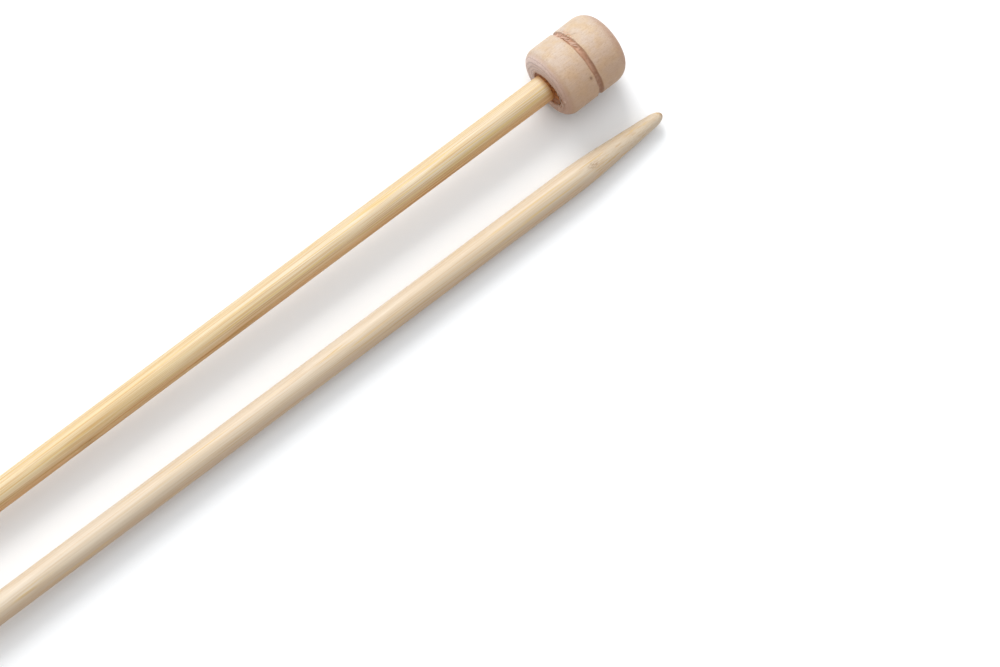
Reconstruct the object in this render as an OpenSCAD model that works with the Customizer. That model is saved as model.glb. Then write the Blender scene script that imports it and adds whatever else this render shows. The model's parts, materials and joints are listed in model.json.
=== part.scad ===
// A pair of straight knitting needles, lying side by side, head to tail, on a flat surface.
// Each needle is a turned shaft with a tapered tip, glued into a drilled knob.
// +X runs along the pair, +Z is up, and the origin is on the surface, under the pair's middle.

/* [Needle] */
// Length of one needle, from its tip to the outer end of its knob
needle_l = 330; // [180:5:400]
// Diameter of the straight shaft
shaft_d = 5; // [4:0.25:7]

/* [Tip] */
// Length of the rounded shoulder, where the shaft starts to narrow
shoulder_l = 8; // [4:0.5:10]
// Slope of the tip's cone to the shaft's axis, in degrees
tip_slope = 4.6; // [3:0.1:6]
// Radius of the rounded nose at the end of the tip
nose_r = 1.15; // [0.5:0.05:1.3]

/* [Knob] */
// Diameter of the knob
knob_d = 13.6; // [11:0.2:18]
// Length of the knob, along the needle
knob_l = 14.6; // [11:0.2:22]
// Rounding of the knob's edge on the shaft's side
inner_edge_r = 2.1; // [0.5:0.1:2.5]
// Rounding of the knob's outer edge
outer_edge_r = 3.4; // [1:0.1:4]
// Width of the groove turned round the knob
groove_w = 1.2; // [1.2:0.1:2.4]
// Depth of the groove
groove_depth = 0.5; // [0.2:0.05:0.6]
// Distance of the groove from the knob's middle, towards the shaft
groove_shift = 0.25; // [-1:0.05:1]

/* [Joint of shaft and knob] */
// Radial gap between the shaft and the drilled hole, which the glue fills
glue_gap = 0.2; // [0.1:0.05:0.4]
// Wood left between the straight part of the hole and the knob's outer end
end_wall = 4.1; // [3.6:0.1:6]
// Gap between the shaft's end and the end of the straight part of the hole
end_gap = 0.5; // [0.2:0.1:1.5]
// How much thinner the shaft is at its glued end, on the radius
spigot_taper = 0.2; // [0.1:0.05:0.4]
// Depth of the hole's flared mouth
mouth_depth = 0.8; // [0.5:0.1:1.2]
// Growth of the hole's radius over the depth of its mouth
mouth_flare = 0.8; // [0.6:0.1:1]
// Depth of the glue's edges below the knob's face
glue_recess = 0.2; // [0.1:0.05:0.4]
// Radius of the dish in the glue, as a share of the largest that fits between shaft and mouth
dish_share = 0.8; // [0.5:0.05:0.9]

/* [Pair] */
// Distance between the two needles
spacing = 15.5; // [14:0.5:40]
// How far each tip reaches past the end of the other needle's knob
tip_overhang = 0.4; // [-20:0.2:20]

/* [Hidden] */
$fn = 128;
long_arc_fn = 1440;

// Flat ring kept between the hole's mouth and the rounding of the knob's edge
rim_w = 0.4;
// Half of the drill's point angle
drill_angle = 59;
// Extra length of a cutter past the face that it cuts
past = 0.5;

shaft_r = shaft_d / 2;
knob_r = knob_d / 2;

// The tip: a ball nose, a cone and a shoulder arc, each tangent to the next.
// A height is a distance along the needle from the end of its nose.
shoulder_arc_r = shoulder_l / sin(tip_slope);
cone_big_r = shaft_r - shoulder_arc_r * (1 - cos(tip_slope));
cone_small_r = nose_r * cos(tip_slope);
nose_top = nose_r * (1 - sin(tip_slope));
cone_top = nose_top + (cone_big_r - cone_small_r) / tan(tip_slope);
tip_l = cone_top + shoulder_l;

// The drilled hole, with depths measured from the knob's shaft-side face
face_z = needle_l - knob_l;
hole_r = shaft_r + glue_gap;
hole_depth = knob_l - end_wall;
mouth_r = hole_r + mouth_flare;
spigot_l = hole_depth - end_gap;
spigot_end_r = shaft_r - spigot_taper;
shaft_end = face_z + spigot_l;
edge_in = min(inner_edge_r, knob_r - mouth_r - rim_w);

// The groove is a shallow arc, as deep and as wide as it is set
groove_arc_r = (groove_w * groove_w / 4 + groove_depth * groove_depth) / (2 * groove_depth);

// The glue is dished round the shaft. fit_r is the arc that would touch both the shaft and the mouth's wall.
mouth_slope = atan(mouth_flare / mouth_depth);
glue_out_r = mouth_r - mouth_flare * glue_recess / mouth_depth;
glue_in_r = shaft_r - spigot_taper * glue_recess / spigot_l;
fit_r = (glue_out_r - glue_in_r) / (1 + 1 / cos(mouth_slope));
dish_r = dish_share * fit_r;

// A lying needle rests on the shoulder's arc and on the arc of the knob's shaft-side edge, so it leans.
// rest_run and rest_rise go from the middle of one arc to the middle of the other.
rest_run = face_z + edge_in - tip_l;
rest_rise = knob_r - edge_in + shoulder_arc_r - shaft_r;
lean = atan(rest_rise / rest_run)
    - asin((shoulder_arc_r - edge_in) / sqrt(rest_run * rest_run + rest_rise * rest_rise));

// Height of the axis above the surface where the taper starts
axis_h = shoulder_arc_r - (shoulder_arc_r - shaft_r) * cos(lean);

// Length of a lying needle along X, and how far the start of its taper lies from the nose's end
end_drop = knob_r - outer_edge_r;
lying_l = nose_r + (needle_l - outer_edge_r - nose_r) * cos(lean) + end_drop * sin(lean) + outer_edge_r;
taper_x = nose_r + (tip_l - nose_r) * cos(lean);

// Lays a needle that stands on its tip along +Z down on the surface, with its knob towards +X
module lay() {
    translate([taper_x - (lying_l + tip_overhang) / 2, spacing / 2, axis_h]) rotate([0, 90 - lean, 0])
        translate([0, 0, -tip_l]) children();
}

// The same, turned half round about the pair's middle, with its knob towards -X
module lay_turned() {
    rotate([0, 0, 180]) lay() children();
}

// Four-sided piece of a turned outline, from radius r1 at height z1 to radius r2 at height z2
module turned(z1, r1, z2, r2) {
    polygon([[0, z1], [r1, z1], [r2, z2], [0, z2]]);
}

// Outline of the shaft on one side of its axis: nose, cone, shoulder, straight length and glued end
module shaft_outline() {
    intersection() {
        translate([0, nose_r]) circle(r = nose_r);
        turned(0, shaft_d, nose_top, shaft_d);
    }
    turned(nose_top, cone_small_r, cone_top, cone_big_r);
    intersection() {
        translate([shaft_r - shoulder_arc_r, tip_l]) circle(r = shoulder_arc_r, $fn = long_arc_fn);
        turned(cone_top, shaft_d, tip_l, shaft_d);
    }
    turned(tip_l, shaft_r, face_z, shaft_r);
    turned(face_z, shaft_r, shaft_end, spigot_end_r);
}

// The space drilled out of the knob: flared mouth, straight hole and drill point
module drilled_hole() {
    grow = mouth_flare / mouth_depth;
    translate([0, 0, -past]) cylinder(h = past + mouth_depth, r1 = mouth_r + past * grow, r2 = hole_r);
    cylinder(h = hole_depth, r = hole_r);
    translate([0, 0, hole_depth]) cylinder(h = hole_r / tan(drill_angle), r1 = hole_r, r2 = 0);
}

// What is turned off a corner to round it, with the arc's middle at the origin
module corner_waste(r) {
    difference() {
        square(r + past);
        circle(r = r);
    }
}

// Outline of the knob on one side of its axis, before it is drilled
module knob_outline() {
    difference() {
        square([knob_r, knob_l]);
        translate([knob_r - edge_in, edge_in]) mirror([0, 1]) corner_waste(edge_in);
        translate([knob_r - outer_edge_r, knob_l - outer_edge_r]) corner_waste(outer_edge_r);
        translate([knob_r - groove_depth + groove_arc_r, knob_l / 2 - groove_shift]) circle(r = groove_arc_r);
    }
}

// A turned shaft: tapered tip, straight length and glued end
module shaft() {
    color("#e4c894") rotate_extrude() shaft_outline();
}

// A turned barrel knob with rounded edges and one groove, drilled to take the shaft
module knob() {
    color("#d9bfa3")
    translate([0, 0, face_z]) difference() {
        rotate_extrude() knob_outline();
        drilled_hole();
    }
}

// The glue that fills the hole round the shaft's end, with a dished surface in the mouth
module glue() {
    color("#8f5a2c")
    translate([0, 0, face_z]) difference() {
        intersection() {
            drilled_hole();
            translate([0, 0, glue_recess]) cylinder(h = knob_l, r = knob_r);
        }
        cylinder(h = spigot_l, r1 = shaft_r, r2 = spigot_end_r);
        rotate_extrude() translate([glue_in_r + fit_r, glue_recess]) circle(r = dish_r);
    }
}

module shaft_a() { lay() shaft(); }
module knob_a() { lay() knob(); }
module glue_a() { lay() glue(); }
module shaft_b() { lay_turned() shaft(); }
module knob_b() { lay_turned() knob(); }
module glue_b() { lay_turned() glue(); }

shaft_a();
knob_a();
glue_a();
shaft_b();
knob_b();
glue_b();
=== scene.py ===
import json
import math

import bpy
import numpy as np
from mathutils import Matrix, Vector


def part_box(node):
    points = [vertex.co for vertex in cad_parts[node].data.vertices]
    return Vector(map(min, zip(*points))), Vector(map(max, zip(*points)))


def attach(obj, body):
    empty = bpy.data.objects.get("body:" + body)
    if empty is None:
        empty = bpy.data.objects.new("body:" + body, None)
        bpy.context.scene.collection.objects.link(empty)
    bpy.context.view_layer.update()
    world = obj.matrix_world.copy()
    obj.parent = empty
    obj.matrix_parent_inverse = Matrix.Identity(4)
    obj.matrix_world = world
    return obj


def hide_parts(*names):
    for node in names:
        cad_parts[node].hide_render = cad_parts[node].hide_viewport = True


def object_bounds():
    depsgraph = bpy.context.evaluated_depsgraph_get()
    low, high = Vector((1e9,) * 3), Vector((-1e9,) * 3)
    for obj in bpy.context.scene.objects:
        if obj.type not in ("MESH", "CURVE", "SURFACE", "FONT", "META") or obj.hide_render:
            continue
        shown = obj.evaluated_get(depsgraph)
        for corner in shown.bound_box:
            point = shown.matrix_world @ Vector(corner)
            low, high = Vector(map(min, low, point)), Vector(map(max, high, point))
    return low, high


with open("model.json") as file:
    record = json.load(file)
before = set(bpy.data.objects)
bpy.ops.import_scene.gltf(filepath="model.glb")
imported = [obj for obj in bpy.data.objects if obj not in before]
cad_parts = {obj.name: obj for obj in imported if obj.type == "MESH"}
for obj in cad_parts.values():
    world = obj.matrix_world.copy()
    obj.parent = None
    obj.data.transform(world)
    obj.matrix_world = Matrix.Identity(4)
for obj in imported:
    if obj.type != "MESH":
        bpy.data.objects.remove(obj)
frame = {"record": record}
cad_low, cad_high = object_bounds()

# A pair of turned bamboo knitting needles with barrel knobs, lying head to tail. Lengths in the shape
# functions are in millimetres, in the needle's own frame: along runs from the end of the nose to the
# knob, radius is measured from the shaft's axis, and angle from the top of the lying needle, growing
# towards the other needle. On a knob, depth is measured along from the face that the shaft enters.
MM = 0.001

MOUNTS = {mount["name"]: mount for mount in frame["record"]["mounts"]}


# ---------------------------------------------------------------- where the needles lie

def needle_of(side):
    """The place and the turned sizes of one needle, read from the frame.

    axis runs from tip to knob, up is square to it in the vertical plane, and out completes the three.
    tip is the end of the nose. taper, face and end are heights along the axis: where the straight
    length starts, where it meets the knob, and where the knob ends.
    """
    pin, cap = MOUNTS["shaft_" + side], MOUNTS["knob_end_" + side]
    low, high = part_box("shaft_" + side)
    axis = -np.array(pin["axis"], float)
    middle = np.array(pin["pos_m"], float)
    tip_x = low.x if axis[0] > 0 else high.x
    tip = middle + axis * (tip_x - middle[0]) / axis[0]
    up = np.array([-axis[2] * np.sign(axis[0]), 0.0, abs(axis[0])])
    at = float((middle - tip) @ axis) / MM
    half = pin["dims"]["length_mm"] / 2
    knob_low, knob_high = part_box("knob_" + side)
    return {
        "side": side, "tip": tip, "axis": axis, "up": up, "out": np.cross(axis, up),
        "taper": at - half, "face": at + half,
        "end": float((np.array(cap["pos_m"]) - tip) @ axis) / MM,
        "r": pin["dims"]["r_mm"], "knob_r": (knob_high.y - knob_low.y) / 2 / MM,
    }


NEEDLES = {side: needle_of(side) for side in "ab"}

# Turned sizes that the frame doesn't state, the same as the solid model's, in millimetres
TIP_SLOPE = math.radians(4.6)    # of the cone behind the nose
SHOULDER_L = 8.0                 # arc between the cone and the straight length
SPIGOT_L = 10.0                  # glued length of the shaft
SPIGOT_TAPER = 0.2               # how much its radius falls over that length
HOLE_R = 2.7
HOLE_DEPTH = 10.5
DRILL_ANGLE = math.radians(59)   # half the point angle of the drill
MOUTH_DEPTH = 0.8
EDGE_IN_R = 2.1                  # rounding of the knob's edge by the shaft
EDGE_OUT_R = 3.4                 # rounding of its outer edge
GROOVE_W = 1.2
GROOVE_DEPTH = 0.5
GROOVE_SHIFT = 0.25              # from the middle of the knob towards the shaft


# ---------------------------------------------------------------- arrays and meshes

def smooth(x, low, high):
    """Smoothstep: 0 below low, 1 above high, and 3t^2 - 2t^3 between."""
    t = np.clip((x - low) / (high - low), 0, 1)
    return t * t * (3 - 2 * t)


def hump(x, middle, width):
    """Bell curve: exp(-((x - middle) / width)^2)."""
    return np.exp(-(((x - middle) / width) ** 2))


def turn_hump(angle, middle, width):
    """Bell curve round the axis, on the shorter way from the angle to the middle, in degrees."""
    away = (np.degrees(angle) - middle + 180) % 360 - 180
    return np.exp(-((away / width) ** 2))


def waves(rng, angle, along, count, turns, lengths, fade):
    """Sum of cosine waves over a turned surface, about -1 to 1.

    Each wave has a whole number of turns round the axis, so the sum closes on itself, and a wave
    length along it in millimetres. Waves with more turns are lower by turns^-fade.
    """
    k = rng.integers(turns[0], turns[1] + 1, count)
    length = rng.uniform(lengths[0], lengths[1], count) * rng.choice([-1, 1], count)
    phase = rng.uniform(0, 2 * np.pi, count)
    size = np.maximum(k, 1.0) ** -fade
    total = 0
    for i in range(count):
        total = total + size[i] * np.cos(k[i] * angle + 2 * np.pi * along / length[i] + phase[i])
    return total / np.sqrt((size ** 2).sum() / 2) / 2


def around(count):
    """Angles of a closed ring of points, as one row."""
    return np.linspace(0, 2 * np.pi, count, endpoint=False)[None, :]


def place(needle, along, radius, angle):
    """Points in metres: tip + along * axis + radius * (cos(angle) * up + sin(angle) * out)."""
    along, radius, angle = np.broadcast_arrays(along, radius, angle)
    c, s = radius * np.cos(angle), radius * np.sin(angle)
    reach = along[..., None] * needle["axis"] + c[..., None] * needle["up"] + s[..., None] * needle["out"]
    return needle["tip"] + reach * MM


def grid_faces(rings, turns, closed=False):
    """Quads of a grid that closes round the axis, and from the last ring to the first if closed."""
    i, j = np.meshgrid(np.arange(rings if closed else rings - 1), np.arange(turns), indexing="ij")
    a = i * turns + j
    b = i * turns + (j + 1) % turns
    c = (i + 1) % rings * turns + (j + 1) % turns
    d = (i + 1) % rings * turns + j
    return np.stack([a, b, c, d], -1).reshape(-1, 4)


def fan_faces(pole, ring_start, turns, first):
    """Triangles from a pole to a ring; first says whether the pole comes before the ring."""
    j = np.arange(turns)
    a, b = ring_start + j, ring_start + (j + 1) % turns
    pole = np.full(turns, pole)
    return np.stack([pole, b, a] if first else [pole, a, b], -1)


def outward(points, quads, tris):
    """The faces turned so that their signed volume, a sixth of the sum of a . (b x c), is positive."""
    parts = np.concatenate([quads[:, [0, 1, 2]], quads[:, [0, 2, 3]], tris.reshape(-1, 3)])
    middle = points.mean(0)
    a, b, c = (points[parts[:, i]] - middle for i in range(3))
    if np.einsum("ij,ij->i", a, np.cross(b, c)).sum() < 0:
        return quads[:, ::-1], tris[:, ::-1]
    return quads, tris


class Shape:
    """Closed surfaces gathered into one mesh, with values that vary over them."""

    def __init__(self):
        self.points, self.quads, self.tris, self.values, self.count = [], [], [], [], 0

    def add_closed(self, points, quads, tris, values):
        """A closed surface, with its faces turned outwards and its values listed point by point."""
        quads, tris = outward(points, quads, tris)
        self.points.append(points)
        self.quads.append(quads + self.count)
        self.tris.append(tris + self.count)
        self.values.append(values)
        self.count += len(points)

    def add_turned(self, grid, first_pole, last_pole, values):
        """A grid of rings between two poles, as from a profile turned about an axis."""
        rings, turns, _ = grid.shape
        points = np.concatenate([grid.reshape(-1, 3), [first_pole, last_pole]])
        n = rings * turns
        tris = np.concatenate([fan_faces(n, 0, turns, True), fan_faces(n + 1, n - turns, turns, False)])
        with_poles = {}
        for key, value in values.items():
            poles = np.stack([value[0].mean(0), value[-1].mean(0)])
            with_poles[key] = np.concatenate([value.reshape(n, *value.shape[2:]), poles])
        self.add_closed(points, grid_faces(rings, turns), tris, with_poles)

    def make(self, name, material, body, node):
        """One object from all the surfaces, riding on its body in place of its CAD node."""
        mesh = bpy.data.meshes.new(name)
        points = np.concatenate(self.points)
        faces = np.concatenate(self.quads).tolist() + np.concatenate(self.tris).tolist()
        mesh.from_pydata(points.tolist(), [], faces)
        for key in self.values[0]:
            value = np.concatenate([v[key] for v in self.values]).astype(np.float32)
            kind, field = ("FLOAT_VECTOR", "vector") if value.ndim == 2 else ("FLOAT", "value")
            mesh.attributes.new(key, kind, "POINT").data.foreach_set(field, value.ravel())
        mesh.polygons.foreach_set("use_smooth", np.ones(len(mesh.polygons), bool))
        mesh.materials.append(material)
        mesh.validate()
        mesh.update()
        piece = bpy.data.objects.new(name, mesh)
        bpy.context.scene.collection.objects.link(piece)
        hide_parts(node)
        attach(piece, body)


# ---------------------------------------------------------------- shafts

NOSE_L = 2.6                      # blunt end of the tip
NOSE_FULL, NOSE_ROUND = 2.6, 0.45
FLAT_DEPTH = 0.016                # shallow flats left by splitting and sanding the cane
RIDGE_DEPTH, FINE_DEPTH = 0.007, 0.004
SCAR_DEPTH = 0.025                # of the bamboo's leaf scar


def shaft_radius(needle, along):
    """Turned radius of the shaft: rounded nose, cone, shoulder arc, straight length, tapered glued end.

    The shoulder is an arc tangent to the straight length. The cone runs on tangent to it. The nose
    is the cone times (1 - (1 - t)^2.6)^0.45, with t the share of the nose's length, a blunt bullet.
    """
    r = needle["r"]
    arc_r = SHOULDER_L / math.sin(TIP_SLOPE)
    back = np.clip(needle["taper"] - along, 0, SHOULDER_L)
    shoulder = r - arc_r + np.sqrt(arc_r ** 2 - back ** 2)
    cone = np.clip(needle["taper"] - SHOULDER_L - along, 0, None) * math.tan(TIP_SLOPE)
    nose = (1 - (1 - np.clip(along / NOSE_L, 0, 1)) ** NOSE_FULL) ** NOSE_ROUND
    spigot = SPIGOT_TAPER * np.clip((along - needle["face"]) / SPIGOT_L, 0, 1)
    return (shoulder - cone) * nose - spigot


def shaft_rings(needle):
    """Heights of the shaft's rings: close together on the nose and the tip, and where the knob starts."""
    nose = NOSE_L * (1 - np.cos(np.linspace(0.04, 1, 26) * np.pi / 2))
    tip = np.arange(NOSE_L + 0.3, needle["taper"] + 2, 0.3)
    length = np.arange(tip[-1] + 1.4, needle["face"] - 2, 1.4)
    root = np.linspace(length[-1] + 0.7, needle["face"] + 0.8, 8)
    spigot = np.linspace(root[-1] + 1, needle["face"] + SPIGOT_L, 8)
    return np.concatenate([nose, tip, length, root, spigot])[:, None]


def shaft(needle, seed, scar, material):
    """A turned shaft: its radius round the axis, lowered by fine fibre ridges and shallow flats.

    The ridges are waves with many turns round the axis and long wave lengths along it, and the
    flats are a few broad ones. Nothing stands above the turned radius. scar is a shallow dent.
    """
    rng = np.random.default_rng(seed)
    along, angle = shaft_rings(needle), around(144)
    flats = waves(rng, angle, along, 5, (2, 5), (90, 260), 0.3)
    ridges = waves(rng, angle, along, 14, (14, 40), (60, 300), 0.2)
    fine = waves(rng, angle, along, 10, (41, 66), (25, 90), 0.1)
    turned = shaft_radius(needle, along)
    # The tip is handled most, so its ridges are worn down
    unworn = 0.3 + 0.7 * smooth(turned, 1.0, 2.4)
    relief = FLAT_DEPTH * (flats - 1) + unworn * (RIDGE_DEPTH * (ridges - 1) + FINE_DEPTH * (fine - 1))
    dent = turn_hump(angle, scar["angle"], 17) * hump(along, scar["along"], 1.1)
    radius = turned + relief * np.minimum(turned / needle["r"], 1) - SCAR_DEPTH * dent
    along, angle = np.broadcast_to(along, radius.shape), np.broadcast_to(angle, radius.shape)
    values = {
        "wood_mm": np.stack([along, radius * np.sin(angle), radius * np.cos(angle)], -1),
        "scar": dent,
        "endgrain": (1 - smooth(along, 0.1, 0.95)) * (0.75 + 0.25 * np.cos(3 * angle)),
        "root": smooth(along, needle["face"] - 1.1, needle["face"] - 0.1),
    }
    shape = Shape()
    ends = place(needle, 0.0, 0.0, 0.0), place(needle, needle["face"] + SPIGOT_L, 0.0, 0.0)
    shape.add_turned(place(needle, along, radius, angle), *ends, values)
    side = needle["side"]
    shape.make("bamboo_shaft_" + side, material, "needle_" + side, "shaft_" + side)


# ---------------------------------------------------------------- the knob's turned form

WHOLE_MOUTH_R = 3.04      # of the hole's mouth where no wood is torn out


def mouth_radius(angle, look):
    """Radius of the hole's broken mouth at the knob's face: drilled round, and torn out on one side."""
    torn = look["torn"] * turn_hump(angle, look["torn_at"], 52)
    ragged = 0.05 * np.cos(5 * angle + look["phase"]) + 0.035 * np.cos(11 * angle + 2 * look["phase"])
    nicks = 0.03 * np.cos(23 * angle + look["phase"])
    return WHOLE_MOUTH_R + torn + ragged + nicks


def hole_radius(depth, angle, look):
    """Radius of the hole at a depth below the face: the broken mouth narrows to the drilled bore."""
    open_share = (1 - np.clip(depth / MOUTH_DEPTH, 0, 1)) ** 1.3
    return HOLE_R + (mouth_radius(angle, look) - HOLE_R) * open_share


def knob_profile(needle, angle, look):
    """Depth and radius of the knob's skin, one row for each step of the turned outline.

    The outline goes up the drill point and the hole, over the face, round the inner edge, along the
    barrel in three runs, the middle one where the groove will be cut, round the outer edge and in to
    the middle of the end.
    """
    knob_l, knob_r = needle["end"] - needle["face"], needle["knob_r"]
    middle = knob_l / 2 - GROOVE_SHIFT
    point_l = HOLE_R / math.tan(DRILL_ANGLE)
    one = np.ones_like(angle)
    rows = []

    def run(count, depth, radius, last=False):
        """Rows of one stretch, from a formula each for depth and radius in t, which goes from 0 to 1."""
        t = np.linspace(0, 1, count, endpoint=last)[:, None]
        rows.append((depth(t) * one, radius(t) * one))

    run(6, lambda t: HOLE_DEPTH + point_l * (0.98 - 0.98 * t), lambda t: HOLE_R * (0.02 + 0.98 * t))
    run(8, lambda t: HOLE_DEPTH + (MOUTH_DEPTH - HOLE_DEPTH) * t, lambda t: HOLE_R + 0 * t)
    run(12, lambda t: MOUTH_DEPTH * (1 - t), lambda t: hole_radius(MOUTH_DEPTH * (1 - t), angle, look))
    rim = knob_r - EDGE_IN_R
    mouth = mouth_radius(angle, look)
    run(30, lambda t: 0 * t, lambda t: mouth + (rim - mouth) * t)
    run(18, lambda t: EDGE_IN_R * (1 - np.cos(t * np.pi / 2)),
        lambda t: knob_r - EDGE_IN_R * (1 - np.sin(t * np.pi / 2)))
    start, stop = middle - GROOVE_W, middle + GROOVE_W
    run(20, lambda t: EDGE_IN_R + (start - EDGE_IN_R) * t, lambda t: knob_r + 0 * t)
    run(44, lambda t: start + (stop - start) * t, lambda t: knob_r + 0 * t)
    run(16, lambda t: stop + (knob_l - EDGE_OUT_R - stop) * t, lambda t: knob_r + 0 * t)
    run(26, lambda t: knob_l - EDGE_OUT_R * (1 - np.sin(t * np.pi / 2)),
        lambda t: knob_r - EDGE_OUT_R * (1 - np.cos(t * np.pi / 2)))
    run(22, lambda t: knob_l + 0 * t, lambda t: (knob_r - EDGE_OUT_R) * (1 - 0.985 * t), True)
    return np.concatenate([r[0] for r in rows]), np.concatenate([r[1] for r in rows])


def outline_normal(depth, radius):
    """The outline's unit normal as depth and radius: the step from row to row turned a right angle."""
    step_d, step_r = np.gradient(depth, axis=0), np.gradient(radius, axis=0)
    size = np.maximum(np.hypot(step_d, step_r), 1e-6)
    return -step_r / size, step_d / size


def groove_share(depth, angle, needle, look):
    """How deep into the groove a point lies: 1 on its floor, 0 outside, with soft lips.

    The groove is a trough (1 - |x|^2.2)^0.9, with x the distance from its middle over half its
    width. Its middle wanders a little along the needle, and its width varies round the knob.
    """
    knob_l = needle["end"] - needle["face"]
    wander = 0.22 * np.sin(angle) + 0.04 * np.cos(4 * angle + look["phase"])
    middle = knob_l / 2 - GROOVE_SHIFT + wander
    width = GROOVE_W / 2 * (1 + 0.10 * np.cos(3 * angle + look["phase"]) + 0.06 * np.cos(13 * angle))
    across = np.abs(depth - middle) / width
    return np.clip(1 - across ** 2.2, 0, 1) ** 0.9


def knob_zones(needle, depth, radius, angle, look):
    """Shares, 0 for none, that say where each finish and flaw lies on the knob's skin.

    They are products of smoothsteps in depth and radius with bell curves round the axis: outside
    leaves out the hole, face and end are the flat ends, barrel is the round side, torn_mouth and
    torn_groove are broken wood, soaked is wood that drew in glue, and dent and scratch are marks.
    """
    knob_l, knob_r = needle["end"] - needle["face"], needle["knob_r"]
    beyond_mouth = radius - mouth_radius(angle, look)
    outside = smooth(radius, HOLE_R + 0.25, HOLE_R + 0.5)
    face = outside * (1 - smooth(depth, 0.25, 1.25))
    barrel = smooth(radius, knob_r - 0.6, knob_r - 0.05)
    near_mouth = face * (1 - smooth(beyond_mouth, 0.05, 1.5))
    lips = hump(np.abs(depth - knob_l / 2 + GROOVE_SHIFT), GROOVE_W / 2, 0.35) * barrel
    # A short scratch, slightly askew, on the outer side of the groove's torn stretch
    scratch = turn_hump(angle - 0.05 * (depth - 8.4), look["rip_at"] + 9, 1.3) * hump(depth, 8.4, 0.45)
    return {
        "outside": outside,
        "face": face,
        "end": smooth(depth, knob_l - 0.9, knob_l - 0.05),
        "barrel": barrel,
        "groove": groove_share(depth, angle, needle, look) * barrel,
        "torn_mouth": near_mouth * (0.15 + turn_hump(angle, look["torn_at"] + 10, 60)),
        "torn_groove": lips * turn_hump(angle, look["rip_at"], 24),
        "dent": turn_hump(angle, look["fleck_at"], 2.6) * hump(depth, look["fleck_depth"], 0.22) * barrel,
        "scratch": scratch * barrel,
        "soaked": (hump(beyond_mouth, -0.1, 0.38)
                   + hump(beyond_mouth, 0, 0.8) * turn_hump(angle, look["blob_at"] + 6, 30)),
    }


RING_PITCH, FINE_RING_PITCH = 0.62, 0.27    # tool rings on the flat ends
RING_DEPTH, RING_SINK = 0.008, 0.012        # their height, and how far they lie below the outline
TOOL_DEPTH, UNEVEN_DEPTH = 0.006, 0.02      # tool marks on the barrel, and its unevenness
MOUTH_ROUGH, MOUTH_SINK = 0.07, 0.09        # torn wood round the mouth: waves, and mean depth
LIP_ROUGH, LIP_SINK = 0.09, 0.07            # the same at the groove's torn lips
FLOOR_UNEVEN, FLOOR_ROUGH = 0.09, 0.025     # the groove's floor: share of its depth, and waves
DENT_DEPTH, SCRATCH_DEPTH = 0.12, 0.05


def knob_relief(rng, depth, radius, angle, zone):
    """How far the skin lies off the turned outline, and the rough waves that torn wood follows.

    On the flat ends, rings are sine waves in the radius. On the barrel, tool marks are waves along
    the needle on a slightly uneven round. The groove goes down by its share of its depth, and torn
    wood is a sum of short waves.
    """
    drift = waves(rng, angle, radius, 6, (1, 4), (3, 8), 0.3)
    tool = waves(rng, angle, depth, 10, (0, 3), (0.25, 1.1), 0.1)
    uneven = waves(rng, angle, depth, 6, (2, 5), (8, 20), 0.3)
    rough = waves(rng, angle, depth + radius, 16, (18, 60), (0.4, 1.6), 0.1)
    groove_floor = waves(rng, angle, depth, 8, (3, 16), (2, 9), 0.2)
    rings = np.sin(2 * np.pi * (radius + 0.12 * drift) / RING_PITCH)
    rings = rings + 0.5 * np.sin(2 * np.pi * (radius + 0.1 * drift) / FINE_RING_PITCH)

    offset = (RING_DEPTH * rings - RING_SINK) * (zone["face"] + zone["end"])
    offset = offset + zone["barrel"] * (TOOL_DEPTH * (tool - 1) + UNEVEN_DEPTH * (uneven - 1))
    offset = offset - GROOVE_DEPTH * zone["groove"] * (1 + FLOOR_UNEVEN * groove_floor)
    offset = offset + zone["torn_mouth"] * (MOUTH_ROUGH * rough - MOUTH_SINK)
    offset = offset + zone["torn_groove"] * (LIP_ROUGH * rough - LIP_SINK)
    offset = offset + FLOOR_ROUGH * rough * zone["groove"]
    offset = offset - DENT_DEPTH * zone["dent"] - SCRATCH_DEPTH * zone["scratch"]
    return offset, rough


# ---------------------------------------------------------------- knobs and glue

def sliver(shape, base, needle, path, width, lift):
    """A torn fibre: a flat five-sided strand along a short path, widest in its middle, end lifted.

    path is rows of (depth, radius, angle) on the knob's skin, and base points away from the skin.
    The strand's half width is width * sin(pi t)^0.6, its thickness is a third of that, and it rises
    by lift * t^2.
    """
    n, sides = len(path), 5
    t = np.linspace(0, 1, n)[:, None]
    spine = place(needle, needle["face"] + path[:, 0], path[:, 1], path[:, 2])
    forward = np.gradient(spine, axis=0)
    forward /= np.linalg.norm(forward, axis=1, keepdims=True)
    side = np.cross(forward, base)
    side /= np.linalg.norm(side, axis=1, keepdims=True)
    top = np.cross(side, forward)
    half = width * np.maximum(np.sin(np.pi * np.clip(t, 0.03, 0.97)), 0) ** 0.6 * MM
    turn = around(sides)
    rise = lift * t ** 2 * MM
    grid = (spine[:, None] + rise[..., None] * base
            + (half * np.cos(turn))[..., None] * side[:, None]
            + (half * np.sin(turn) / 3)[..., None] * top[:, None])
    one = np.ones((n, sides))
    # Its grain is read from beyond the needle's end, so that it differs from the skin below
    wood = np.broadcast_to(path[:, None, :] * [1, 0.4, 1], (n, sides, 3)) + np.array([330.0, 0, 0])
    values = {"wood_mm": wood, "face": 0.4 * one, "groove": 0 * one, "torn": one, "stain": 0 * one,
              "mark": 0 * one, "edge": 0 * one}
    shape.add_turned(grid, grid[0].mean(0), grid[-1].mean(0), values)


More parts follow.
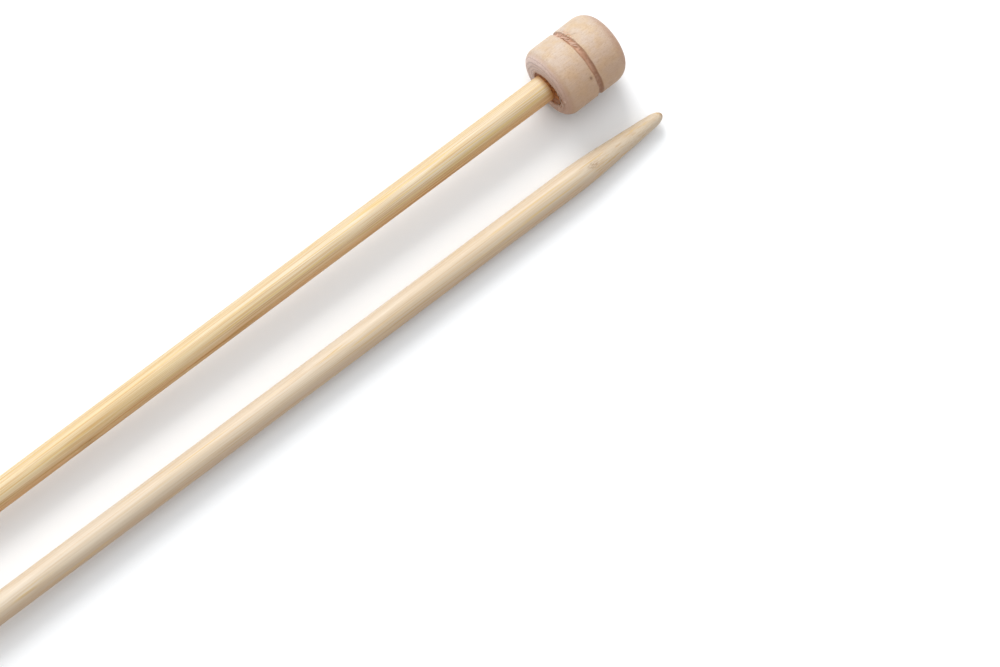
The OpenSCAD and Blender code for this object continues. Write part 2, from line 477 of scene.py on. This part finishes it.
def splinters(shape, needle, look):
    """Long fibres lifted from the face: radius and turn go straight from start to end, with one sine
    bend, and past the rim the path follows the inner edge's arc."""
    t = np.linspace(0, 1, 13)
    rim = needle["knob_r"] - EDGE_IN_R
    for turn_0, r_0, turn_1, r_1, width in look["splinters"]:
        r = r_0 + (r_1 - r_0) * t + 0.05 * np.sin(2 * np.pi * t)
        back = 1 - np.sqrt(1 - np.clip((r - rim) / EDGE_IN_R, 0, 1) ** 2)
        turn = np.radians(turn_0 + (turn_1 - turn_0) * t)
        path = np.stack([EDGE_IN_R * back - 0.01, r, turn], -1)
        sliver(shape, -needle["axis"], needle, path, width, 0.04)


def mouth_slivers(shape, rng, needle, look):
    """Short fibres torn up round the hole's mouth: half-sine bows at random places near the tear."""
    t = np.linspace(0, 1, 9)
    for _ in range(look["mouth_slivers"]):
        middle = math.radians(look["torn_at"] + rng.uniform(-45, 75))
        bow = rng.uniform(-0.35, 0.35)
        reach = rng.uniform(0.10, 0.30)
        start = float(mouth_radius(np.array(middle), look)) + rng.uniform(-0.05, 0.55)
        radius = start + bow * t + 0.12 * np.sin(np.pi * t)
        path = np.stack([-0.01 + 0.06 * t, radius, middle + reach * (t - 0.3)], -1)
        sliver(shape, -needle["axis"], needle, path, rng.uniform(0.05, 0.10), rng.uniform(0.03, 0.16))


def groove_slivers(shape, rng, needle, look):
    """Short fibres that hang across the torn stretch of the groove, each sagging in a half sine."""
    t = np.linspace(0, 1, 9)
    inner_lip = (needle["end"] - needle["face"]) / 2 - GROOVE_SHIFT
    for _ in range(look["groove_slivers"]):
        middle = math.radians(look["rip_at"] + rng.uniform(-22, 22))
        depth = inner_lip + rng.uniform(-0.7, -0.2) + rng.uniform(0.3, 1.1) * t
        radius = needle["knob_r"] - 0.12 - 0.16 * np.sin(np.pi * t)
        path = np.stack([depth, radius, middle + rng.uniform(0.06, 0.22) * t], -1)
        base = math.cos(middle) * needle["up"] + math.sin(middle) * needle["out"]
        sliver(shape, base, needle, path, rng.uniform(0.05, 0.08), rng.uniform(0.02, 0.12))


def knob(needle, seed, look, material):
    """A turned barrel knob: its outline round the axis, with its relief added along the normal.

    The whole knob sits a little crooked on the shaft: each ring moves sideways by its depth times
    the tangent of the lean. Slivers of torn wood are closed strands of their own.
    """
    rng = np.random.default_rng(seed)
    angle = around(288)
    depth, radius = knob_profile(needle, angle, look)
    angle = np.broadcast_to(angle, depth.shape)
    knob_l = needle["end"] - needle["face"]
    normal_d, normal_r = outline_normal(depth, radius)
    zone = knob_zones(needle, depth, radius, angle, look)
    offset, rough = knob_relief(rng, depth, radius, angle, zone)
    depth, radius = (depth + offset * normal_d * zone["outside"],
                     radius + offset * normal_r * zone["outside"])

    lean = math.tan(math.radians(look["crooked"]))
    c, s = radius * np.cos(angle), radius * np.sin(angle) + np.clip(depth, 0, None) * lean
    grid = place(needle, needle["face"] + depth, np.hypot(c, s), np.arctan2(s, c))
    torn_mouth = zone["torn_mouth"] * smooth(rough, 0.2, 0.8)
    torn_lips = zone["torn_groove"] * smooth(rough, 0.3, 0.7)
    stained_lips = zone["torn_groove"] * turn_hump(angle, look["rip_at"], 20) * smooth(rough, -0.4, 0.5)
    stained_face = zone["outside"] * zone["soaked"] * (1 - smooth(depth, 0.3, 1))
    outer_wear = hump(depth, knob_l - 1.0, 0.85) * (0.8 + 0.2 * rough)
    inner_wear = 0.5 * hump(depth, 0.7, 0.5) * (1 - zone["face"])
    values = {
        "wood_mm": np.stack([depth + needle["face"], s, c], -1),
        "face": np.clip(zone["face"] + 0.8 * zone["end"], 0, 1),
        "groove": zone["groove"],
        "torn": np.clip(torn_mouth + torn_lips, 0, 1),
        "stain": np.clip(stained_face + 1.1 * stained_lips, 0, 1),
        "mark": np.clip(1.4 * zone["dent"] + 0.7 * zone["scratch"], 0, 1),
        "edge": zone["outside"] * (outer_wear + inner_wear),
    }
    drill_point, end_middle = HOLE_DEPTH + HOLE_R / math.tan(DRILL_ANGLE), depth[-1].mean()
    ends = [place(needle, needle["face"] + d, d * lean, np.pi / 2) for d in (drill_point, end_middle)]
    shape = Shape()
    shape.add_turned(grid, *ends, values)
    splinters(shape, needle, look)
    mouth_slivers(shape, rng, needle, look)
    groove_slivers(shape, rng, needle, look)
    side = needle["side"]
    shape.make("barrel_knob_" + side, material, "needle_" + side, "knob_" + side)


GLUE_BURIED = 0.05        # how far the glue reaches into the wood
GLUE_FOOT = 1.6           # depth of its lower edge
BLOB_H = 0.42             # height of the squeezed-out blob
CLIMB = 0.22              # how far the glue climbs the shaft above the face
FILLET_SHARE = 0.35       # share of the mouth's width that its parabola takes
WALL_RISE = 0.10          # how far the level floor rises at the wall


def glue(needle, seed, look, material):
    """The cured glue round the shaft: a ring that fills the mouth, with an uneven surface.

    Each section starts on the shaft above the face, goes down a parabola to a level floor that rises
    a little at the mouth's wall, then down the wall, in under the hole's edge and back up the shaft.
    At one side the squeezed-out glue stands in a half-sine blob.
    """
    rng = np.random.default_rng(seed)
    angle = around(192)
    inner = needle["r"] - 0.06
    t = np.linspace(0, 1, 20)[:, None]
    climb = CLIMB + 0.06 * np.cos(2 * angle + look["phase"])
    wide = mouth_radius(angle, look) - needle["r"]
    low = 0.10 + 0.06 * np.clip(wide, 0, 1.6)
    sag = low - (low + climb) * (1 - np.clip(t / FILLET_SHARE, 0, 1)) ** 2 - WALL_RISE * smooth(t, 0.75, 1)
    lumps = 0.06 * waves(rng, angle, t * 2, 10, (3, 14), (0.8, 3), 0.2) * np.sin(np.pi * t) * wide
    blob = BLOB_H * turn_hump(angle, look["blob_at"], 30) * np.sin(np.pi * np.clip(t, 0, 1)) ** 0.8
    top_d = sag + lumps - blob
    top_r = inner + (hole_radius(np.clip(top_d, 0, 9), angle, look) + GLUE_BURIED - inner) * t
    wall_t = np.linspace(0, 1, 8)[1:, None]
    wall_d = top_d[-1:] + (GLUE_FOOT - top_d[-1:]) * wall_t
    wall_r = hole_radius(np.clip(wall_d, 0, 9), angle, look) + GLUE_BURIED
    back_t = np.linspace(0, 1, 6)[:-1, None]
    back_d = GLUE_FOOT + (top_d[:1] - GLUE_FOOT) * back_t
    depth = np.concatenate([top_d, wall_d, back_d])
    radius = np.concatenate([top_r, wall_r, inner + 0 * back_d])
    angle = np.broadcast_to(angle, depth.shape)
    grid = place(needle, needle["face"] + depth, radius, angle)
    rings, turns, _ = grid.shape
    wood = np.stack([depth + needle["face"], radius * np.sin(angle), radius * np.cos(angle)], -1)
    # deep grows with the depth below the face, and the glue's finish paints shade with it
    values = {"wood_mm": wood.reshape(-1, 3), "deep": smooth(depth, 0.05, 0.4).reshape(-1)}
    shape = Shape()
    quads = grid_faces(rings, turns, closed=True)
    shape.add_closed(grid.reshape(-1, 3), quads, np.zeros((0, 3), int), values)
    side = needle["side"]
    shape.make("glue_fillet_" + side, material, "needle_" + side, "glue_" + side)


# ---------------------------------------------------------------- node helpers

def node(tree, kind, inputs=None, **settings):
    """A node with its settings, and its inputs either linked to a socket or set to a value."""
    n = tree.nodes.new(kind)
    for key, value in settings.items():
        setattr(n, key, value)
    for key, value in (inputs or {}).items():
        if isinstance(value, bpy.types.NodeSocket):
            tree.links.new(value, n.inputs[key])
        else:
            n.inputs[key].default_value = value
    return n


def calc(tree, operation, *values, clamp=False):
    """The result of one Math node."""
    n = node(tree, "ShaderNodeMath", dict(enumerate(values)), operation=operation, use_clamp=clamp)
    return n.outputs[0]


def vector(tree, operation, *values):
    """The result of one Vector Math node, a number for a dot product and a vector otherwise."""
    n = node(tree, "ShaderNodeVectorMath", dict(enumerate(values)), operation=operation)
    return n.outputs["Value" if operation == "DOT_PRODUCT" else "Vector"]


def blend(tree, factor, a, b):
    """Two colours mixed by a factor, as one colour."""
    return node(tree, "ShaderNodeMix", {0: factor, 6: a, 7: b}, data_type="RGBA").outputs[2]


def tint(tree, colour, mask, share, over, clamp=False):
    """A colour with another laid over it, as strongly as a mask times a share."""
    return blend(tree, calc(tree, "MULTIPLY", mask, share, clamp=clamp), colour, over)


def span(tree, value, low, high):
    """A value brought to 0 at low and 1 at high by a smooth step."""
    n = node(tree, "ShaderNodeMapRange", {0: value, 1: low, 2: high}, interpolation_type="SMOOTHSTEP")
    return n.outputs[0]


def stretched(tree, position, scale):
    """A position scaled, as a texture's coordinates."""
    return node(tree, "ShaderNodeMapping", {0: position, 3: scale}).outputs[0]


def cloud(tree, position, scale, detail=2.0, rough=0.5, distortion=0.0):
    """Noise from 0 to 1."""
    n = node(tree, "ShaderNodeTexNoise", {"Vector": position, "Scale": scale, "Detail": detail,
                                         "Roughness": rough, "Distortion": distortion})
    return n.outputs[0]


def read(tree, name, as_vector=False):
    """A value stored on the piece's own mesh."""
    n = node(tree, "ShaderNodeAttribute", attribute_name=name)
    return n.outputs["Vector" if as_vector else "Fac"]


def rgb(red, green, blue):
    """A colour given as display values from 0 to 255, made linear."""
    lin = [((c / 255 + 0.055) / 1.055) ** 2.4 if c > 10 else c / 255 / 12.92 for c in (red, green, blue)]
    return (*lin, 1.0)


def new_group(name, inputs, outputs):
    """An empty node group with named float or vector sockets, and its two end nodes."""
    kinds = {"f": "NodeSocketFloat", "v": "NodeSocketVector"}
    tree = bpy.data.node_groups.new(name, "ShaderNodeTree")
    for label, kind, value in inputs:
        socket = tree.interface.new_socket(label, in_out="INPUT", socket_type=kinds[kind])
        if value is not None:
            socket.default_value = value
    for label in outputs:
        tree.interface.new_socket(label, in_out="OUTPUT", socket_type=kinds["f"])
    return tree, node(tree, "NodeGroupInput").outputs, node(tree, "NodeGroupOutput").inputs


def use(tree, group, inputs):
    """A node group placed in a material."""
    return node(tree, "ShaderNodeGroup", inputs, node_tree=group).outputs


def new_material(name, shader):
    """A material with a Principled shader, its plain values set on the shader's own sockets."""
    material = bpy.data.materials.new(name)
    material.use_nodes = True
    tree = material.node_tree
    tree.nodes.clear()
    bsdf = node(tree, "ShaderNodeBsdfPrincipled", shader)
    tree.links.new(bsdf.outputs[0], node(tree, "ShaderNodeOutputMaterial").inputs[0])
    return material, tree, bsdf.inputs


def finish(tree, bsdf, colour, roughness, height, strength, distance):
    """The changing colour, roughness and height of a finish, joined to its shader."""
    bump = node(tree, "ShaderNodeBump", {"Strength": strength, "Distance": distance, "Height": height})
    tree.links.new(colour, bsdf["Base Color"])
    tree.links.new(roughness, bsdf["Roughness"])
    tree.links.new(bump.outputs[0], bsdf["Normal"])


# ---------------------------------------------------------------- effects used by several materials

def fibre_group():
    """Straight plant fibres cut by the surface.

    Position is stretched along the needle and squeezed across it, so noise becomes threads. Bundle
    gives the sparse dark threads, Thread the fine ones between, and Drift the slow change of tone.
    """
    tree, given, result = new_group(
        "plant_fibres",
        [("Position", "v", None), ("Seed", "v", None), ("Thread width", "f", 0.2), ("Length", "f", 60.0),
         ("Sparseness", "f", 0.5)],
        ["Bundle", "Thread", "Drift"])
    across = calc(tree, "DIVIDE", 1.0, given["Thread width"])
    along = calc(tree, "DIVIDE", 1.0, given["Length"])
    squeeze = node(tree, "ShaderNodeCombineXYZ", {0: along, 1: across, 2: across}).outputs[0]
    bent = cloud(tree, stretched(tree, given["Position"], (0.02, 0.25, 0.25)), 1.0, 1.0)
    shift = vector(tree, "ADD", given["Seed"], bent)
    threads_at = vector(tree, "MULTIPLY_ADD", given["Position"], squeeze, shift)
    sparse = cloud(tree, threads_at, 1.6, 2.0, 0.55)
    start = calc(tree, "MULTIPLY_ADD", given["Sparseness"], 0.28, 0.40)
    bundle = span(tree, sparse, start, calc(tree, "ADD", start, 0.14))
    tree.links.new(bundle, result["Bundle"])
    tree.links.new(span(tree, cloud(tree, threads_at, 2.4, 3.0, 0.65), 0.40, 0.64), result["Thread"])
    slow = vector(tree, "ADD", stretched(tree, given["Position"], (0.012, 0.22, 0.22)), given["Seed"])
    tree.links.new(span(tree, cloud(tree, slow, 1.0, 2.0), 0.3, 0.7), result["Drift"])
    return tree


def wax_group():
    """A thin rubbed wax film: it evens out in patches, so the gloss and the faint pitting vary."""
    tree, given, result = new_group(
        "rubbed_wax",
        [("Position", "v", None), ("Gloss", "f", 0.4), ("Unevenness", "f", 0.1), ("Fibre", "f", 0.5)],
        ["Roughness", "Height"])
    patches = cloud(tree, stretched(tree, given["Position"], (0.25, 0.8, 0.8)), 1.0, 3.0, 0.6)
    pits = cloud(tree, stretched(tree, given["Position"], (2.0, 6.0, 6.0)), 1.0, 2.0, 0.6)
    uneven = calc(tree, "MULTIPLY", calc(tree, "SUBTRACT", patches, 0.5), given["Unevenness"])
    rough = calc(tree, "SUBTRACT", calc(tree, "ADD", uneven, 1.0), given["Gloss"])
    rough = calc(tree, "MULTIPLY_ADD", given["Fibre"], 0.08, rough)
    tree.links.new(rough, result["Roughness"])
    grooves = calc(tree, "MULTIPLY", given["Fibre"], -0.7)
    tree.links.new(calc(tree, "MULTIPLY_ADD", pits, 0.3, grooves), result["Height"])
    return tree


def end_fibre_group():
    """Fibres seen end on: pale and dark dots where they are cut across."""
    tree, given, result = new_group("cut_fibres", [("Position", "v", None), ("Size", "f", 0.25)], ["Dots"])
    small = calc(tree, "DIVIDE", 1.0, given["Size"])
    flat = node(tree, "ShaderNodeCombineXYZ", {0: 0.15, 1: small, 2: small}).outputs[0]
    where = vector(tree, "MULTIPLY", given["Position"], flat)
    cells = node(tree, "ShaderNodeTexVoronoi", {"Vector": where, "Scale": 1.0, "Randomness": 0.9})
    dots = calc(tree, "MULTIPLY", span(tree, cells.outputs["Distance"], 0.15, 0.55), 0.6)
    dots = calc(tree, "MULTIPLY_ADD", cloud(tree, where, 0.6, 2.0), 0.5, dots)
    tree.links.new(dots, result["Dots"])
    return tree


FIBRES, WAX, CUT_FIBRES = fibre_group(), wax_group(), end_fibre_group()


# ---------------------------------------------------------------- materials

BAND_WIDTH, BAND_LENGTH = 2.3, 45.0     # yellower bands: thread widths across, millimetres along
ROOT_AMBER = rgb(176, 122, 60)          # where the shaft drew in glue by the knob


def bamboo(name, look):
    """Waxed bamboo: pale flesh, fine threads, sparse amber bundles, darker end grain and scar."""
    material, tree, bsdf = new_material(
        name, {"Specular IOR Level": 0.42, "Coat Weight": 0.12, "Coat Roughness": 0.35})
    where = read(tree, "wood_mm", True)
    fibres = use(tree, FIBRES, {"Position": where, "Seed": look["seed"], "Thread width": look["thread"],
                                "Length": look["length"], "Sparseness": look["sparse"]})
    bands = use(tree, FIBRES, {"Position": where, "Seed": look["band_seed"], "Length": BAND_LENGTH,
                               "Thread width": look["thread"] * BAND_WIDTH,
                               "Sparseness": look["band_sparse"]})
    colour = blend(tree, fibres["Drift"], look["pale"], look["warm"])
    # Painted shade: darker and more saturated towards the cane's skin side, which on both shafts is the
    # side turned from the key light; part skin colour, part painted shade
    rind_and_shade = span(tree, vector(tree, "DOT_PRODUCT", where, look["rind_and_shade_way"]), -0.2, 2.6)
    colour = blend(tree, rind_and_shade, colour, look["rind_and_shade"])
    colour = blend(tree, bands["Bundle"], colour, look["band"])
    colour = tint(tree, colour, fibres["Thread"], look["thread_mix"], look["dark_thread"])
    # Bundles show more strongly towards the cane's skin side, the side turned from the key light,
    # so there they add painted shade as well
    bundles = calc(tree, "MULTIPLY", fibres["Bundle"], look["bundle_mix"])
    by_rind_and_shade = calc(tree, "MULTIPLY_ADD", rind_and_shade, 0.6, 0.5)
    colour = tint(tree, colour, bundles, by_rind_and_shade, look["bundle"], clamp=True)
    dots = use(tree, CUT_FIBRES, {"Position": where, "Size": 0.16})["Dots"]
    cut = calc(tree, "MULTIPLY_ADD", dots, 0.6, 0.45)
    colour = tint(tree, colour, read(tree, "endgrain"), cut, look["cut"], clamp=True)
    flecks = span(tree, cloud(tree, stretched(tree, where, (1.2, 3.5, 3.5)), 1.0, 3.0, 0.7), 0.42, 0.62)
    fleck_share = calc(tree, "MULTIPLY_ADD", flecks, 0.5, 0.08)
    colour = tint(tree, colour, read(tree, "scar"), fleck_share, look["scar"])
    colour = tint(tree, colour, read(tree, "root"), 0.7, ROOT_AMBER)
    mixed = calc(tree, "MULTIPLY_ADD", fibres["Bundle"], 0.5, calc(tree, "MULTIPLY", fibres["Thread"], 0.5))
    film = use(tree, WAX, {"Position": where, "Gloss": 0.58, "Unevenness": 0.16, "Fibre": mixed})
    finish(tree, bsdf, colour, film["Roughness"], film["Height"], 0.5, 0.00003)
    return material


# The browner heartwood colours are also painted shade on the first knob, on its side turned from the key
# light
KNOB = {
    "sapwood": rgb(195, 181, 168), "cream": rgb(195, 174, 148), "heart_and_shade": rgb(186, 149, 118),
    "thread": rgb(172, 144, 122), "silk": rgb(208, 184, 150), "speck": rgb(154, 120, 98),
    "end_dark": rgb(184, 161, 151), "end_pale": rgb(214, 195, 187), "end_heart_and_shade": rgb(178, 141, 117),
    "pale_ring": rgb(226, 206, 190), "dark_ring": rgb(148, 118, 106),
    "scorch": rgb(168, 126, 103), "pale_scorch": rgb(198, 158, 136), "heart_and_shade_scorch": rgb(142, 102, 78),
    # The lip colour is painted shade on the groove's sloping walls
    "groove_wall_shade": rgb(150, 100, 70), "worn_edge": rgb(164, 124, 100), "glue_stain": rgb(158, 104, 58),
    "fresh_tear": rgb(216, 190, 172), "dirt": rgb(116, 84, 66),
}


def end_grain(tree, where, dots, heart_and_shade):
    """The knob's flat ends: cut fibres, pale and dark swirled rings, and a browner heartwood side, which on
    the first knob is painted shade as well.
    """
    swirl = node(tree, "ShaderNodeTexWave",
                 {"Vector": stretched(tree, where, (0.0, 1.0, 1.0)), "Scale": 0.42, "Distortion": 3.2,
                  "Detail": 3.0, "Detail Scale": 0.9, "Detail Roughness": 0.6},
                 wave_type="RINGS", rings_direction="X").outputs[1]
    colour = blend(tree, dots, KNOB["end_dark"], KNOB["end_pale"])
    colour = tint(tree, colour, span(tree, swirl, 0.80, 0.98), 0.32, KNOB["pale_ring"])
    colour = tint(tree, colour, span(tree, swirl, 0.22, 0.02), 0.35, KNOB["dark_ring"])
    return tint(tree, colour, heart_and_shade, 0.75, KNOB["end_heart_and_shade"])


def scorched(tree, where, heart_and_shade):
    """The groove's wood, browned by the tool in cloudy patches, and browner still on the heartwood side,
    which on the first knob is painted shade.
    """
    patches = cloud(tree, stretched(tree, where, (0.6, 1.2, 1.2)), 1.4, 3.0)
    colour = blend(tree, span(tree, patches, 0.35, 0.65), KNOB["scorch"], KNOB["pale_scorch"])
    return tint(tree, colour, heart_and_shade, 0.55, KNOB["heart_and_shade_scorch"])


def knob_wood():
    """Turned pale wood: faint grain, pinkish end faces with light tool rings, a scorched groove."""
    material, tree, bsdf = new_material(
        "turned_knob_wood", {"Specular IOR Level": 0.38, "Coat Weight": 0.05, "Coat Roughness": 0.45})
    where = read(tree, "wood_mm", True)
    face, groove = read(tree, "face"), read(tree, "groove")
    fibres = use(tree, FIBRES, {"Position": where, "Seed": (3.1, 7.7, 1.3), "Thread width": 0.42,
                                "Length": 4.5, "Sparseness": 0.75})
    patches = span(tree, cloud(tree, where, 0.33, 3.0, 0.55), 0.36, 0.66)
    # The heartwood side of the blank, browner, is the side towards the other needle. On the first knob
    # that side is turned from the key light, so the browning there is also painted shade
    heart_and_shade = span(tree, node(tree, "ShaderNodeSeparateXYZ", {0: where}).outputs[1], -5.5, 6.5)
    specks = span(tree, cloud(tree, stretched(tree, where, (3.0, 5.5, 5.5)), 1.0, 2.0, 0.7), 0.52, 0.72)
    dots = use(tree, CUT_FIBRES, {"Position": where, "Size": 0.3})["Dots"]

    colour = blend(tree, patches, KNOB["sapwood"], KNOB["cream"])
    colour = tint(tree, colour, heart_and_shade, 0.65, KNOB["heart_and_shade"])
    colour = tint(tree, colour, fibres["Thread"], 0.30, KNOB["thread"])
    colour = tint(tree, colour, fibres["Bundle"], 0.35, KNOB["silk"])
    colour = tint(tree, colour, specks, 0.38, KNOB["speck"])
    colour = blend(tree, face, colour, end_grain(tree, where, dots, heart_and_shade))
    colour = tint(tree, colour, span(tree, groove, 0.05, 0.75), 0.78, scorched(tree, where, heart_and_shade))
    # Painted shade on the groove's sloping walls, darker between its lips and its floor
    lips = calc(tree, "MULTIPLY", span(tree, groove, 0.0, 0.3), span(tree, groove, 0.85, 0.45))
    colour = tint(tree, colour, lips, 0.30, KNOB["groove_wall_shade"])
    colour = tint(tree, colour, read(tree, "edge"), 0.6, KNOB["worn_edge"])
    colour = tint(tree, colour, read(tree, "stain"), 0.75, KNOB["glue_stain"], clamp=True)
    colour = tint(tree, colour, read(tree, "torn"), 0.85, KNOB["fresh_tear"])
    colour = tint(tree, colour, read(tree, "mark"), 0.6, KNOB["dirt"])

    grain = calc(tree, "MULTIPLY_ADD", face, 0.4, calc(tree, "MULTIPLY", fibres["Thread"], 0.6))
    film = use(tree, WAX, {"Position": where, "Gloss": 0.45, "Unevenness": 0.14, "Fibre": grain})
    height = calc(tree, "MULTIPLY_ADD", calc(tree, "MULTIPLY", dots, face), 0.8, film["Height"])
    height = calc(tree, "MULTIPLY_ADD", specks, -0.5, height)
    finish(tree, bsdf, colour, film["Roughness"], height, 0.6, 0.00005)
    return material


# dark and amber are the glue's own tones, deep is painted shade for glue lying deep in the mouth
GLUE = {"dark": rgb(118, 68, 32), "amber": rgb(168, 108, 56), "deep": rgb(112, 64, 30),
        "dust": rgb(200, 156, 108)}


def cured_glue():
    """Old wood glue: amber where it is thin, a painted shade of brown where it lies deep, satin with dull,
    dusty patches.
    """
    material, tree, bsdf = new_material(
        "cured_glue", {"Specular IOR Level": 0.25, "Coat Weight": 0.05, "Coat Roughness": 0.3})
    where = read(tree, "wood_mm", True)
    streaks = cloud(tree, where, 2.2, 4.0, 0.65, 0.6)
    dust = span(tree, cloud(tree, where, 7.0, 3.0, 0.7), 0.58, 0.75)
    colour = blend(tree, span(tree, streaks, 0.35, 0.62), GLUE["dark"], GLUE["amber"])
    # Painted shade: browner where the glue lies deep in the mouth
    colour = tint(tree, colour, read(tree, "deep"), 0.45, GLUE["deep"])
    colour = tint(tree, colour, dust, 0.2, GLUE["dust"])
    film = use(tree, WAX, {"Position": where, "Gloss": 0.5, "Unevenness": 0.3, "Fibre": dust})
    finish(tree, bsdf, colour, film["Roughness"], streaks, 0.5, 0.00008)
    return material


# ---------------------------------------------------------------- the pair, piece by piece

# Bamboo of each shaft. thread and length are a thread's size in millimetres, sparse numbers leave
# fewer bundles as they grow, mixes are shares of a tint, and rind_and_shade_way points to the cane's skin,
# which lies on the side turned from the key light, so the rind colour there is part skin colour and
# part painted shade.
WARM = {
    "seed": (11.0, 4.2, 9.1), "thread": 0.25, "length": 42.0, "sparse": 0.30,
    "band_seed": (2.0, 1.4, 5.3), "band_sparse": 0.42, "band": rgb(204, 180, 130),
    "pale": rgb(205, 192, 170), "warm": rgb(204, 185, 150),
    "dark_thread": rgb(188, 158, 108), "thread_mix": 0.42, "bundle": rgb(176, 124, 54), "bundle_mix": 0.78,
    "rind_and_shade": rgb(216, 166, 112), "rind_and_shade_way": (0.0, 0.94, -0.34),
    "cut": rgb(150, 112, 70), "scar": rgb(138, 98, 56),
}
PALE = dict(
    WARM, seed=(5.0, 14.6, 2.7), sparse=0.45,
    band_seed=(8.0, 3.9, 6.1), band_sparse=0.62, band=rgb(200, 176, 134),
    pale=rgb(202, 190, 174), warm=rgb(200, 184, 162),
    dark_thread=rgb(184, 162, 134), thread_mix=0.38, bundle=rgb(182, 138, 70), bundle_mix=0.62,
    rind_and_shade=rgb(182, 155, 128), rind_and_shade_way=(0.0, -0.94, -0.34),
)

# Flaws of each knob and its glue, in degrees and millimetres. crooked is the knob's lean, and a
# splinter is its first angle and radius, its last angle and radius, and its half width.
FLAWS = {
    "a": {"torn": 1.15, "torn_at": 72, "phase": 0.7, "rip_at": -42, "fleck_at": 41, "fleck_depth": 5.95,
          "crooked": -0.6, "blob_at": 63, "mouth_slivers": 16, "groove_slivers": 12,
          "splinters": ((14, 4.45, 50, 5.55, 0.085), (54, 5.5, 60, 5.6, 0.22), (-57, 4.85, -16, 5.2, 0.05),
                        (62, 4.3, 88, 4.9, 0.13), (80, 4.1, 104, 4.4, 0.11))},
    "b": {"torn": 0.75, "torn_at": -40, "phase": 2.9, "rip_at": 118, "fleck_at": -70, "fleck_depth": 9.6,
          "crooked": 0.4, "blob_at": -20, "mouth_slivers": 10, "groove_slivers": 8,
          "splinters": ((-80, 4.3, -40, 5.1, 0.08), (-20, 4.4, -4, 4.5, 0.13))},
}
SCARS = {"a": {"angle": 63, "along": 212.0}, "b": {"angle": -7, "along": 16.5}}
SHAFT_SEED, KNOB_SEED, GLUE_SEED = 20, 40, 60

knob_finish, glue_finish = knob_wood(), cured_glue()
for number, (side, look, slot) in enumerate((("a", WARM, "bamboo_warm"), ("b", PALE, "bamboo_pale"))):
    needle = NEEDLES[side]
    shaft(needle, SHAFT_SEED + number, SCARS[side], bamboo(slot, look))
    knob(needle, KNOB_SEED + number, FLAWS[side], knob_finish)
    glue(needle, GLUE_SEED + number, FLAWS[side], glue_finish)


# ---------------------------------------------------------------- surface, light and camera

FLOOR_REACH = 3.0                          # half its side, in metres
FLOOR_GREY = (0.85, 0.85, 0.85, 1)
SKY, SKY_STRENGTH = (0.935, 0.968, 1.0, 1), 0.77
FOCAL_MM, SENSOR_MM = 198.8, 36.0
# What the camera looks at: the bare surface beside the second needle, short of the first one's knob
AIM = Vector((cad_high.x - 0.04859, -0.02163, 0.003))
CAMERA_DISTANCE = 0.95868
CAMERA_BACK = Vector((-0.27211, -0.11516, 0.95535))    # from what it looks at to the camera
CAMERA_UP = Vector((0.5801, 0.77249, 0.25834))
VIEW_GAMMA = 0.85                          # deepens the middle tones and leaves white as it is


def pale_floor():
    """A plain pale surface, large enough for every view, just under the needles."""
    mesh = bpy.data.meshes.new("pale_surface")
    corners = [(x * FLOOR_REACH, y * FLOOR_REACH, 0) for x, y in ((-1, -1), (1, -1), (1, 1), (-1, 1))]
    mesh.from_pydata(corners, [], [(0, 1, 2, 3)])
    floor = bpy.data.objects.new("pale_surface", mesh)
    bpy.context.scene.collection.objects.link(floor)
    matt = {"Base Color": FLOOR_GREY, "Roughness": 0.9, "Specular IOR Level": 0.1}
    mesh.materials.append(new_material("pale_surface", matt)[0])


def sun(name, azimuth, elevation, strength, softness):
    """A distant studio light, with angles in degrees. Azimuth 0 shines from +Y, and grows towards -X."""
    lamp = bpy.data.lights.new(name, "SUN")
    lamp.energy, lamp.angle = strength, math.radians(softness)
    lit = bpy.data.objects.new(name, lamp)
    bpy.context.scene.collection.objects.link(lit)
    a, e = math.radians(azimuth), math.radians(elevation)
    source = Vector((-math.sin(a) * math.cos(e), math.cos(a) * math.cos(e), math.sin(e)))
    lit.matrix_world = source.to_track_quat("Z", "Y").to_matrix().to_4x4()


def studio():
    """Even light all round, a soft key from the first needle's far side, and a softer light overhead."""
    world = bpy.data.worlds.new("studio")
    world.use_nodes = True
    sky = world.node_tree.nodes["Background"].inputs
    sky["Color"].default_value, sky["Strength"].default_value = SKY, SKY_STRENGTH
    bpy.context.scene.world = world
    sun("key", azimuth=-10, elevation=41, strength=2.1, softness=34)
    sun("overhead", azimuth=-10, elevation=76, strength=0.8, softness=60)


def camera():
    """A long lens high above the first needle's knob end, rolled so that the needles run up to the right.

    The columns of its turn are right = up x back, up made square to both, and back.
    """
    lens = bpy.data.cameras.new("camera")
    lens.sensor_width, lens.lens = SENSOR_MM, FOCAL_MM
    lens.clip_start, lens.clip_end = 0.05, 20
    eye = bpy.data.objects.new("camera", lens)
    bpy.context.scene.collection.objects.link(eye)
    back = CAMERA_BACK.normalized()
    right = CAMERA_UP.cross(back).normalized()
    turn = Matrix((right, back.cross(right), back)).transposed().to_4x4()
    eye.matrix_world = Matrix.Translation(AIM + back * CAMERA_DISTANCE) @ turn
    bpy.context.scene.camera = eye


pale_floor()
studio()
camera()
bpy.context.scene.view_settings.view_transform = "Standard"
bpy.context.scene.view_settings.gamma = VIEW_GAMMA
